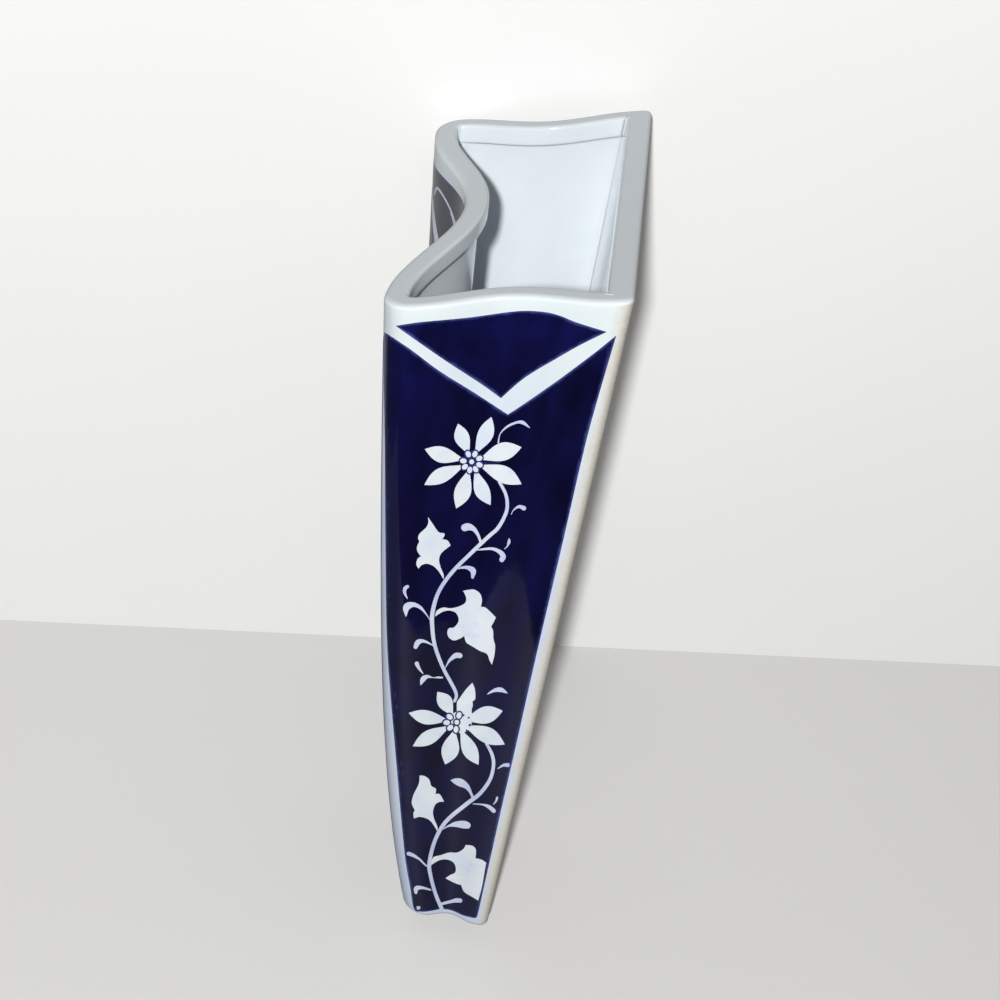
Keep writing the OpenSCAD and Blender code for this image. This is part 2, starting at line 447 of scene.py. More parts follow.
def mixed(tree, factor, a, b):
    node = tree.nodes.new("ShaderNodeMix")
    node.data_type = "RGBA"
    tree.links.new(factor, node.inputs["Factor"])
    for value, socket in ((a, node.inputs["A"]), (b, node.inputs["B"])):
        if isinstance(value, tuple):
            socket.default_value = (*value, 1)
        else:
            tree.links.new(value, socket)
    return node.outputs["Result"]


def patches(tree, look, start=0, end=1, stretch=(1, 1, 1), detail=3):
    scale, low, high = look
    return spread(tree, noiseOf(tree, scale, stretch, detail), low, high, start, end)


def attributeOf(tree, name):
    node = tree.nodes.new("ShaderNodeAttribute")
    node.attribute_name = name
    return node.outputs["Fac"]


def roughen(tree, shader, parts):  # parts are (scale, depth in millimetres, stretch)
    total = None
    for scale, depth, stretch in parts:
        height = calc(tree, "MULTIPLY", noiseOf(tree, scale, stretch), depth * mm)
        total = height if total is None else calc(tree, "ADD", total, height)
    bump = tree.nodes.new("ShaderNodeBump")
    bump.inputs["Distance"].default_value = 1
    tree.links.new(total, bump.inputs["Height"])
    tree.links.new(bump.outputs["Normal"], shader.inputs["Normal"])


# A noise is named by its scale and its low and high end. A range that ends in Y or Z is in metres,
# and one that ends in Turn is of the normal.
glazeLook = {
    # upper is painted lighter than lower: painted light at the top of the vase, over a glaze that is bluer
    # lower down
    "upper": ((0.80, 0.88, 0.91), (0.85, 0.92, 0.92)), "lower": ((0.68, 0.77, 0.95), (0.74, 0.82, 0.95)),
    # inner is painted darker than upper, as painted shade inside the hollow
    "inner": ((0.72, 0.77, 0.815), (0.75, 0.80, 0.835)), "rim": (0.67, 0.72, 0.76),
    "thin": ((0.73, 0.715, 0.66), (0.79, 0.775, 0.72)),
    "biscuit": ((0.62, 0.59, 0.52), (0.72, 0.69, 0.62)),
    "cloud": (70, 0.35, 0.65), "grain": (900, 0.3, 0.7), "ragged": (160, 0.3, 0.7),
    "raggedY": (-0.0006, 0.0006), "upperZ": (-0.04, 0.012), "thinY": (-0.0039, -0.0016),
    # the rim colour, with the first range below of the normal's upward turn, paints shade on faces that
    # look up
    "rimShadeTurn": (0.35, 0.75), "thinTurn": (-0.4, -0.1), "thinUpTurn": (0.2, 0.5), "bareTurn": (0.3, 0.8),
    "gloss": 0.09, "matte": 0.7,
    "bumps": ((45, 0.12, (1, 1, 1)), (600, 0.012, (1, 1, 1))),
}


def makeGlaze():  # white all over, thin and creamy along the back edges, bare on the back
    look = glazeLook
    material, tree, shader = newMaterial("whiteGlaze")
    cloud = patches(tree, look["cloud"])
    # the glaze is painted lighter towards the top as painted light, and bluer lower down
    high = spread(tree, partOf(tree, "place", "Z"), *look["upperZ"])
    faces = mixed(tree, high, mixed(tree, cloud, *look["lower"]), mixed(tree, cloud, *look["upper"]))
    # the inside is painted a darker grey-blue: painted shade in the hollow
    faces = mixed(tree, attributeOf(tree, "inside"), faces, mixed(tree, cloud, *look["inner"]))
    upward = partOf(tree, "normal", "Z")
    # faces that look up, as the rim's top, are painted grey: painted shade where the light falls at a slant
    white = mixed(tree, spread(tree, upward, *look["rimShadeTurn"]), faces, look["rim"])
    backward = partOf(tree, "normal", "Y")
    y = calc(tree, "ADD", partOf(tree, "place", "Y"), patches(tree, look["ragged"], *look["raggedY"]))
    edge = spread(tree, y, *look["thinY"])
    edge = calc(tree, "MULTIPLY", edge, spread(tree, backward, *look["thinTurn"]))
    edge = calc(tree, "MULTIPLY", edge, spread(tree, upward, *look["thinUpTurn"], 1, 0))
    grain = patches(tree, look["grain"])
    glazed = mixed(tree, edge, white, mixed(tree, grain, *look["thin"]))
    bare = calc(tree, "MULTIPLY", edge, spread(tree, backward, *look["bareTurn"]))
    colour = mixed(tree, bare, glazed, mixed(tree, grain, *look["biscuit"]))
    tree.links.new(colour, shader.inputs["Base Color"])
    tree.links.new(spread(tree, bare, 0, 1, look["gloss"], look["matte"]), shader.inputs["Roughness"])
    roughen(tree, shader, look["bumps"])
    return material


glaze = makeGlaze()
shell = makeShell(glaze)
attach(shell, "root")
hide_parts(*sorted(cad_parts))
print("shell made", len(shell.data.polygons))

# The painted scroll of the side that the photograph shows, in the photograph's pixels. In an
# outline a third value of 1 marks a sharp corner; in a stroke it is the width of the brush.
upperField = [
    (395.8, 325.8, 1), (416, 322.6), (436.5, 320.6), (471.6, 317.2), (516.4, 311.2), (542.2, 311.7),
    (559.4, 315.5), (576.6, 322.4), (606.8, 331.9, 1), (582, 344), (559.4, 356.8), (525, 377.5),
    (500.9, 398.2, 1), (481.9, 384.4), (447.5, 362), (420, 343),
]
lowerField = [
    (384.6, 331.9, 1), (411.3, 349.9), (438.9, 370.6), (473.3, 392.1), (507.8, 414.5, 1), (525, 403.3),
    (559.4, 379.2), (593.9, 353.4), (616.3, 335.3, 1), (598, 398), (584, 450), (561, 550), (537.5, 650),
    (515, 750), (503.2, 800.8), (493, 846.7), (483.8, 887.6), (478.4, 912), (476, 917.6), (471, 917.4),
    (462.3, 915), (452, 910.5), (441.9, 909), (430, 911), (421, 911.6), (414, 908.6), (410.3, 887.5),
    (404.3, 850), (395.3, 750), (387.5, 650), (385.6, 550), (385, 450), (384, 380),
]
flowers = {
    "upper": {
        "middle": (471.6, 461.4),
        "petals": [((491.6, 416.7), 15.5, 1.5), ((458, 423.4), 15, -1), ((424.8, 448.9), 16, -1),
                   ((424.3, 484.6), 15, 1), ((456.1, 508.1), 16.5, -1), ((490.6, 504.8), 15, 2),
                   ((521.7, 483.9), 17, -1.5), ((521.7, 447), 18, -1)],
        "rings": [(8.4, angle) for angle in (-114, -67, -24, 21, 62, 103, 144, 186)],
    },
    "lower": {
        "middle": (456.8, 721.8),
        "petals": [((437.3, 691.6), 15, 1), ((408.7, 712.7), 14, -1), ((412.8, 745.9), 14, 0),
                   ((445.2, 764.1), 17.5, -1), ((478.7, 764.5), 15, 1), ((504.9, 744.2), 16, -1),
                   ((502.8, 710.6), 17, 0)],
        "rings": [(9, -143), (10.3, 178), (8.6, 141), (7.2, 96), (7.2, -72)],
    },
}
raggedPetal = [
    (458, 718), (456.8, 703.2), (458.8, 699), (460, 697.6, 1), (461.7, 694.9), (466.3, 688.7),
    (472.5, 682.4, 1), (475, 689.1), (475.4, 698.2), (472.5, 701.1, 1), (472.9, 705.7),
    (471.7, 709.8), (472, 722), (464, 726),
]
leaves = [
    [(427.9, 516.6, 1), (432.8, 523.8), (438.6, 531.8), (443.9, 533.1), (444.4, 535.4), (442.1, 538.9, 1),
     (447.5, 540.3), (450.6, 545.2, 1), (444.8, 549.6), (440.4, 554.1), (439, 560.4), (440.8, 567.5),
     (443.5, 574.2), (443.4, 579, 1), (438.6, 571.1), (433.2, 565.7), (427, 563.5), (421.6, 564.8),
     (418.5, 568.4, 1), (416.3, 563.9), (417.6, 558.6), (421.2, 555.9, 1), (418, 552.3), (416.9, 547),
     (419.4, 541.2, 1), (418, 537.1), (420.3, 532.7), (426.1, 527.3), (428.3, 522)],
    [(434.8, 616.4, 1), (436.9, 610.4), (443.1, 607.3), (450.5, 608.1), (458, 606.5), (464.6, 603.2),
     (466.3, 599), (465, 594), (463, 590.7, 1), (468.8, 589.5), (474.6, 589.5), (480, 593.2), (482, 599),
     (481.6, 604), (480.8, 606.5, 1), (485.4, 607.3), (490.3, 611.5), (496.1, 617.3, 1), (493.2, 623.1),
     (491.2, 626.4, 1), (493.2, 630.5), (493.6, 638.8), (495.3, 645.5), (494.5, 655.4), (492, 664.5, 1),
     (489.5, 659.6), (487, 653.7), (479.6, 650.4), (472.9, 646.3), (466.3, 642.1), (464.2, 635.5, 1),
     (460.5, 638), (453.8, 640.1), (448.9, 637.2), (447.2, 632.2), (448.9, 628), (453.8, 627.2),
     (458, 622.2), (458.4, 617.3), (455.5, 612.3), (449.7, 610.2), (443.9, 611), (439.8, 613.1)],
    [(419.5, 775.3, 1), (424.6, 775.8), (429.2, 779.4), (431.2, 785.5), (435.8, 788.6), (435.3, 793.7, 1),
     (439.9, 794.2), (444, 801.3, 1), (438.9, 801.8), (434.8, 804.9), (432.8, 812), (434.3, 819.2),
     (437.3, 826.3), (437.3, 831, 1), (431.7, 822.2), (426.6, 818.2), (419.5, 816.6), (413.9, 818.2, 1),
     (413.4, 813.1), (414.9, 810, 1), (411.8, 802.9), (413.4, 794.7), (416.4, 788.6), (419, 782.4)],
    [(430.8, 865, 1), (433, 857.4), (440.9, 854.9), (449.1, 852.3), (457.2, 852.3), (463.4, 848.8),
     (465.9, 844.7, 1), (472.6, 845.7), (476.1, 849.8), (475.6, 858, 1), (481.7, 859.5), (486.3, 862.6, 1),
     (484.8, 870.2), (482.8, 882.4), (480.7, 891.6), (478.2, 900.3, 1), (472.6, 896.7), (464.4, 891.6),
     (461.3, 884.5, 1), (458.3, 884), (452.1, 881.4), (445.5, 877.9, 1), (450.1, 874.8), (455.2, 872.2),
     (455.7, 866.1), (452.1, 861), (445, 859), (437.9, 860.5)],
]
stems = [
    [(499, 481, 3.4), (505.4, 492.8, 3.8), (507.4, 503, 4), (506, 513, 4.2), (498.4, 527.3, 4.4),
     (487.7, 537.1, 4.4), (469.8, 554.1, 4.4), (452, 572, 4.4), (438.6, 591.6, 4.4), (432.5, 612, 5),
     (432.3, 628, 4.8), (435, 646, 4.4), (443.1, 667.8, 4.2), (455.8, 692, 4), (454.4, 701, 3)],
    [(486, 742.5, 3), (492, 753.7, 3.8), (493.7, 765, 4), (490, 779.5, 4.2), (479.7, 793.7, 4.6),
     (466.4, 803.9, 4.8), (446, 821.2, 4.6), (435, 840, 4.4), (429.4, 862, 4.6), (430.6, 876, 4.4),
     (435.8, 894.7, 4.2), (441.6, 908.2, 4.6)],
]
curls = [
    [(498.3, 443, 2), (500.3, 433.6, 1.2), (507.4, 426.4, 2.4), (516.6, 422.3, 2.8), (523, 422.4, 4),
     (529.6, 427.4, 1)],
    [(511.4, 514.4, 0.7), (513.6, 510, 1.2), (519, 506.4, 3.4), (524, 508, 5.4)],
    [(481, 543, 3), (478.4, 535.4, 3.4), (474, 529, 5.4), (468.4, 526.6, 8.4), (464.6, 527.4, 8.4)],
    [(477, 550, 1), (481.4, 549.2, 2), (492.1, 548.5, 3.2), (500, 551.8, 5), (503.2, 556, 6.4),
     (502, 559.4, 6)],
    [(504.6, 548.8, 0.8), (507.3, 546.1, 1.6), (509.2, 541.6, 3.6), (509.2, 538.6, 1.2)],
    [(458, 568.6, 1), (461.3, 567.5, 2.4), (467.1, 567.3, 4.2), (473, 570.4, 7), (472.6, 577, 3.4)],
    [(430, 620, 0.8), (427.3, 615.6, 1.2), (420.7, 607.6, 3.6), (413.2, 604.4, 5.6), (406.6, 607, 8.2),
     (406, 615.8, 1.4)],
    [(407.6, 598.6, 0.7), (404.8, 592.8, 3.4), (405, 588.4, 4.4), (407.4, 586.4, 4)],
    [(434, 646, 1.2), (429.8, 643.4, 1.8), (423.2, 640.8, 3.6), (418, 642, 6), (415.6, 646.6, 5)],
    [(444, 670, 0.8), (446.4, 665.4, 1.2), (449.7, 660, 3.2), (455.5, 655.4, 6), (460, 655.4, 6)],
    [(443, 677.4, 1.6), (438, 677.2, 2.2), (433.1, 677.4, 0.9), (427.3, 676.4, 4), (423, 679, 6),
     (420.8, 684.2, 1.6)],
    [(423.2, 673.7, 0.8), (419, 668, 3.4), (416.8, 663.4, 5)],
    [(487.4, 694, 0.7), (494.5, 690.2, 4), (501.1, 689.6, 5.4), (507.2, 692.8, 1.2)],
    [(473.6, 799, 2.6), (470.4, 791.6, 3.4), (466.6, 786, 6.4), (460.5, 782.4, 9.2), (455, 780.8, 6.4),
     (451.4, 780.2, 1.6)],
    [(497.6, 768.6, 0.7), (503, 765.2, 3), (507.8, 764.8, 4.8)],
    [(473, 803.6, 1), (482.8, 804.4, 2), (488.9, 806.6, 4.2), (493.8, 810.6, 5)],
    [(493.3, 804.2, 0.8), (496.2, 800.8, 2), (497.2, 797.4, 2.6)],
    [(443, 829, 0.8), (448.4, 825.8, 2), (456, 824, 6.4), (464, 824.4, 9), (467.6, 825.2, 7.6)],
    [(427, 866, 1.6), (424.1, 863.6, 2), (419.5, 859, 2.4), (413.4, 855.2, 3.8), (408.6, 853.4, 4.4)],
    [(431, 890, 1.6), (428.7, 889.1, 2.2), (421.5, 887.4, 3.4), (416.4, 888.2, 5.6), (416, 892.4, 3.4)],
    [(440, 904, 3), (450.1, 901.5, 3.6), (456.2, 900.2, 5), (460.4, 900.4, 5)],
    [(418.5, 906, 4), (418.5, 907.8, 4.2)],
]
petalSeam = [(484.5, 462.6, 1.4), (492, 462.8, 1), (499, 462.2, 1.6)]
wornHeart = {"middle": (460.5, 721.8), "long": 11.5, "wide": 11}
wornDots = [((463.4, 714.8), 1.2), ((468.8, 717.3), 1), ((470, 724.7), 1.3), ((466.7, 730.1), 1)]

# lengths in the first three lines are in steps of the drawing, the others in millimetres
brush = {
    "load": 0.84, "thinnest": 0.4, "strokeSteps": 6, "capSteps": 7,
    "petalStart": 6, "petalSteps": 14, "petalBelly": 1.3,
    "ovalLong": 3.3, "ovalWide": 2.5, "bead": 2.4, "rim": 1.5, "ovalSteps": 20,
    "poolRise": 0.03, "depth": 0.06, "wash": (0.25, 0.5, 0.8), "sharpest": 0.35, "nearest": 0.96,
    "acrossStep": 0.9, "downStep": 4.5,
}


def throughPoints(points, closed=False, steps=5):  # a smooth line through all the points
    count = len(points)
    line = []
    for i in range(count if closed else count - 1):
        before = points[i - 1] if closed or i else points[0]
        a, b = points[i], points[(i + 1) % count]
        after = points[(i + 2) % count] if closed or i + 2 < count else points[-1]
        for k in range(steps):
            t = k / steps
            line.append(0.5 * (2 * a + (b - before) * t + (2 * before - 5 * a + 4 * b - after) * t ** 2
                               + (3 * a - before - 3 * b + after) * t ** 3))
    return line if closed else line + [points[-1]]


def smoothOutline(points):  # rounds an outline off between its sharp corners
    corners = [i for i, p in enumerate(points) if len(p) == 3]
    flat = [Vector(p[:2]) for p in points]
    if not corners:
        return throughPoints(flat, closed=True)
    rounded = []
    for start, end in zip(corners, corners[1:] + [corners[0] + len(points)]):
        run = [flat[i % len(flat)] for i in range(start, end + 1)]
        rounded += throughPoints(run)[:-1]
    return rounded


def stroke(points):  # one pull of the brush, from its first point to its round end
    line = throughPoints([Vector(p) for p in points], steps=brush["strokeSteps"])
    left, right = [], []
    for i, p in enumerate(line):
        along = line[min(i + 1, len(line) - 1)] - line[max(i - 1, 0)]
        along = Vector((along.x, along.y)).normalized()
        out = Vector((-along.y, along.x)) * max(p.z * brush["load"], brush["thinnest"]) / 2
        left.append(Vector((p.x, p.y)) + out)
        right.append(Vector((p.x, p.y)) - out)
    end = Vector((line[-1].x, line[-1].y))
    steps = brush["capSteps"]
    turns = (math.pi * k / steps for k in range(1, steps))
    cap = [end + out * math.cos(a) + along * out.length * math.sin(a) for a in turns]
    return left + cap + right[::-1]


def petal(middle, tip, width, bend):
    middle, tip = Vector(middle), Vector(tip)
    along = (tip - middle).normalized()
    out = Vector((-along.y, along.x))
    start = middle + along * brush["petalStart"]
    steps = brush["petalSteps"]
    sides = {1: [], -1: []}
    for side in sides:
        for k in range(steps + 1):
            t = k / steps
            swelling = math.sin(math.pi * t ** brush["petalBelly"])
            reach = side * width / 2 * swelling + bend * swelling
            sides[side].append(start.lerp(tip, t) + out * reach)
    return sides[1] + sides[-1][-2:0:-1]


def oval(middle, long, wide, angle=0):
    a = math.radians(angle)
    along, out = Vector((math.cos(a), math.sin(a))), Vector((-math.sin(a), math.cos(a)))
    steps = brush["ovalSteps"]
    turns = (2 * math.pi * k / steps for k in range(steps))
    return [Vector(middle) + along * long * math.cos(t) + out * wide * math.sin(t) for t in turns]


def sideSkin(x, y, lift):  # x along the side from the back slab, y down it, in millimetres
    def plan(u):
        run = sideRun(u)
        if x <= run:
            return sidePoint(u, x / run, -lift)
        return cornerPoint(u, math.degrees((x - run) / form["frontCorner"]), -lift)
    return settle(plan, y / form["height"])


def leftSkin(x, y, lift):
    p = sideSkin(x, y, lift)
    return Vector((-p.x, p.y, p.z))


def frontSkin(x, y, lift):  # x across the front from its middle
    def plan(u):
        reach = frontReach(u)
        if abs(x) <= reach:
            px, py = frontPoint(u, abs(x) / reach, -lift)
        else:
            turn = math.degrees((abs(x) - reach) / form["frontCorner"])
            px, py = cornerPoint(u, 90 - turn, -lift)
        return math.copysign(px, x), py
    return settle(plan, y / form["height"])


def fromPhoto(pixel):  # the place on the side, in millimetres, that shows at a pixel
    x, y = 20.0, 100.0  # a first guess, which each round brings nearer
    reach = 0.5
    rounds = 9
    for step in range(rounds):
        here = photoPixel(sideSkin(x, y, 0))
        dx = (photoPixel(sideSkin(x + reach, y, 0)) - here) / reach
        dy = (photoPixel(sideSkin(x, y + reach, 0)) - here) / reach
        miss = Vector(pixel) - here
        area = dx.x * dy.y - dx.y * dy.x
        x += (miss.x * dy.y - miss.y * dy.x) / area
        y += (dx.x * miss.y - dx.y * miss.x) / area
    return Vector((x, y))


def segmentGap(p, a, b):
    along = b - a
    share = max(0, min(1, (p - a).dot(along) / max(along.length_squared, 1e-12)))
    return (p - a - along * share).length


def drawnIn(outline, reach):  # the same outline, moved in by a distance
    count = len(outline)
    area = sum(outline[i - 1].cross(outline[i]) for i in range(count))
    turn = 1 if area > 0 else -1
    inner = []
    for i, p in enumerate(outline):
        a, b = (p - outline[i - 1]).normalized(), (outline[(i + 1) % count] - p).normalized()
        out = (a + b).normalized()
        inward = Vector((-out.y, out.x)) * turn
        mitre = 1 / max(brush["sharpest"], a.dot(out))
        q = p + inward * reach * mitre
        gap = min(segmentGap(q, outline[k - 1], outline[k]) for k in range(count))
        if gap > reach * brush["nearest"]:  # a point that comes too near another edge is left out
            inner.append(q)
    return inner


def flatShapes(outlines, wash):  # flat shapes; wash draws in a deeper pool of paint, step by step
    bm = bmesh.new()
    poolLayer = bm.verts.layers.float.new("pool")
    steps = len(wash)
    for outline in outlines:
        for k, reach in enumerate((0,) + wash):
            line = drawnIn(outline, reach) if k else outline
            verts = [bm.verts.new((p.x, p.y, 0)) for p in line]
            for vert in verts:
                vert[poolLayer] = k / steps if steps else 1
            face = bm.faces.new(verts)
            face.normal_update()
            if face.normal.z < 0:
                face.normal_flip()
    return bm


def cutFine(bm):  # cuts flat shapes into pieces small enough to follow the wall
    for axis, step in ((0, brush["acrossStep"]), (1, brush["downStep"])):
        values = [vert.co[axis] for vert in bm.verts]
        place = math.floor(min(values) / step) * step + step
        while place < max(values):
            at = [0, 0, 0]
            normal = [0, 0, 0]
            at[axis], normal[axis] = place, 1
            geom = bm.verts[:] + bm.edges[:] + bm.faces[:]
            bmesh.ops.bisect_plane(bm, geom=geom, plane_co=at, plane_no=normal, dist=1e-5)
            place += step
    bmesh.ops.triangulate(bm, faces=[f for f in bm.faces if len(f.verts) > 4])


def layOnWall(name, bm, skin, side, lift, material):  # a thin closed layer of paint
    grown = bmesh.ops.extrude_face_region(bm, geom=bm.faces[:])
    for item in grown["geom"]:
        if isinstance(item, bmesh.types.BMVert):
            item.co.z = 1
    bmesh.ops.recalc_face_normals(bm, faces=bm.faces)
    reach = 0.2
    skyward = {}
    poolLayer = bm.verts.layers.float["pool"]
    bm.verts.index_update()
    for vert in bm.verts:
        x, y, top = vert.co
        rise = brush["poolRise"] * vert[poolLayer]
        p = skin(x, y, lift + rise - (0 if top else brush["depth"] + rise))
        if top:
            across = skin(x + reach, y, lift + rise) - p
            down = skin(x, y + reach, lift + rise) - p
            skyward[vert.index] = across.cross(down).normalized() * side
        vert.co = p * mm
    if side < 0:
        bmesh.ops.reverse_faces(bm, faces=bm.faces)
    bm.normal_update()
    piece = newPiece(name, bm, material)
    mesh = piece.data
    normals = []
    for face in mesh.polygons:
        onTop = all(i in skyward for i in face.vertices)
        normals += [skyward[i] if onTop else face.normal.copy() for i in face.vertices]
    mesh.normals_split_custom_set(normals)
    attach(piece, "root")


def flowerShapes(flower):  # petals, the dark rings of the heart and the pale ovals in them
    middle = Vector(flower["middle"])
    petals = [petal(middle, tip, width, bend) for tip, width, bend in flower["petals"]]
    long, wide, rim = brush["ovalLong"], brush["ovalWide"], brush["rim"]
    rings = [oval(middle, brush["bead"] + rim, brush["bead"] + rim)]
    ovals = [oval(middle, brush["bead"], brush["bead"])]
    for reach, angle in flower["rings"]:
        a = math.radians(angle)
        place = middle + Vector((math.cos(a), math.sin(a))) * reach
        rings.append(oval(place, long + rim, wide + rim, angle))
        ovals.append(oval(place, long, wide, angle))
    return petals, rings, ovals


def ontoWall(outlines):
    return [[fromPhoto(p) for p in outline] for outline in outlines]


def layPaint(where, shapes, skin, side):  # shapes are outlines in millimetres, named by their layer
    for name, outlines in shapes.items():
        lift, material, slot = paintLayers[name]
        bm = flatShapes(outlines, brush["wash"] if name == "field" else ())
        cutFine(bm)
        layOnWall(name + where, bm, skin, side, lift, material)


def paintScroll():  # the side in the photograph, and the same in mirror image on the other side
    upperPetals, upperRings, upperOvals = flowerShapes(flowers["upper"])
    lowerPetals, lowerRings, lowerOvals = flowerShapes(flowers["lower"])
    heart = oval(wornHeart["middle"], wornHeart["long"], wornHeart["wide"])
    dots = [oval(place, size, size) for place, size in wornDots]
    drawn = {
        "field": [smoothOutline(upperField), smoothOutline(lowerField)],
        "curls": [stroke(curl) for curl in curls],
        "stems": [stroke(stem) for stem in stems],
        "leaves": [smoothOutline(leaf) for leaf in leaves],
        "petals": upperPetals + lowerPetals + [smoothOutline(raggedPetal), heart],
        "rings": upperRings + lowerRings + [stroke(petalSeam)] + dots,
        "ovals": upperOvals + lowerOvals,
    }
    shapes = {name: ontoWall(outlines) for name, outlines in drawn.items()}
    layPaint("Right", shapes, sideSkin, 1)
    layPaint("Left", shapes, leftSkin, -1)


paintBumps = ((45, 0.12, (1, 1, 1)), (500, 0.006, (1, 1, 0.4)))  # as roughen takes them
cobaltLook = {
    "dark": ((0.0005, 0.0005, 0.019), (0.003, 0.0025, 0.045)),
    "bright": ((0.002, 0.002, 0.040), (0.005, 0.006, 0.09)),
    "thin": ((0.035, 0.05, 0.23), (0.085, 0.12, 0.38)),
    "streaks": (90, 0.35, 0.7), "streakStretch": (1.6, 1.6, 0.5), "streakDetail": 5,
    "cloud": (45, 0.4, 0.65), "grain": (420, 0.3, 0.7), "grainShare": 0.4,
    # the top of the cobalt is painted lighter, as painted light
    "toplightZ": (-0.02, 0.01), "toplightLeast": 0.25, "deepFrom": (0.05, 0.95), "gloss": 0.07,
}


def makeCobalt():  # deep in the pool of each field, thin and bluer along its edge
    look = cobaltLook
    material, tree, shader = newMaterial("cobaltWash")
    streaks = patches(tree, look["streaks"], 0, 1, look["streakStretch"], look["streakDetail"])
    # the cobalt is patchy and painted lighter towards the top: painted light
    high = spread(tree, partOf(tree, "place", "Z"), *look["toplightZ"])
    paintedToplight = calc(tree, "MULTIPLY", patches(tree, look["cloud"]), calc(tree, "ADD", look["toplightLeast"], high))
    deep = mixed(tree, paintedToplight, mixed(tree, streaks, *look["dark"]), mixed(tree, streaks, *look["bright"]))
    grain = calc(tree, "MULTIPLY", patches(tree, look["grain"]), look["grainShare"])
    depth = spread(tree, calc(tree, "ADD", attributeOf(tree, "pool"), grain), *look["deepFrom"])
    colour = mixed(tree, depth, mixed(tree, streaks, *look["thin"]), deep)
    tree.links.new(colour, shader.inputs["Base Color"])
    shader.inputs["Roughness"].default_value = look["gloss"]
    roughen(tree, shader, paintBumps)
    return material


outlineLook = {
    "blue": ((0.012, 0.013, 0.10), (0.035, 0.045, 0.22)), "strength": (300, 0.3, 0.7), "gloss": 0.08,
}


def makeOutlineBlue():
    look = outlineLook
    material, tree, shader = newMaterial("outlineBlue")
    colour = mixed(tree, patches(tree, look["strength"]), *look["blue"])
    tree.links.new(colour, shader.inputs["Base Color"])
    shader.inputs["Roughness"].default_value = look["gloss"]
    roughen(tree, shader, paintBumps)
    return material


reserveLook = {
    "cloud": (160, 0.35, 0.65), "cloudStretch": (1, 1, 0.6), "stain": (330, 0.52, 0.72),
    "stainBlue": (0.50, 0.58, 0.88), "gloss": 0.09,
    "broad": {"white": ((0.78, 0.86, 0.97), (0.87, 0.93, 0.97)), "smear": 0.22},
    "thin": {"white": ((0.58, 0.65, 0.92), (0.74, 0.81, 0.95)), "smear": 0.5},
}


def makeReserve(name, width):  # the white left free of paint, with a little blue smeared into it
    look = reserveLook
    material, tree, shader = newMaterial(name)
    cloud = patches(tree, look["cloud"], stretch=look["cloudStretch"])
    stain = patches(tree, look["stain"], 0, look[width]["smear"])
    white = mixed(tree, cloud, *look[width]["white"])
    tree.links.new(mixed(tree, stain, white, look["stainBlue"]), shader.inputs["Base Color"])
    shader.inputs["Roughness"].default_value = look["gloss"]
    roughen(tree, shader, paintBumps)
    return material


cobalt = makeCobalt()
outlineBlue = makeOutlineBlue()
reserve = makeReserve("reserveWhite", "broad")
thinReserve = makeReserve("reserveThin", "thin")

# each layer's height over the wall in millimetres, its material and its slot
paintLayers = {
    "field": (0.04, cobalt, "painted_glaze"),
    "curls": (0.08, thinReserve, "white_glaze"),
    "stems": (0.09, thinReserve, "white_glaze"),
    "leaves": (0.10, reserve, "white_glaze"),
    "petals": (0.11, reserve, "white_glaze"),
    "rings": (0.13, outlineBlue, "painted_glaze"),
    "ovals": (0.16, reserve, "white_glaze"),
}
paintScroll()
print("scroll painted")

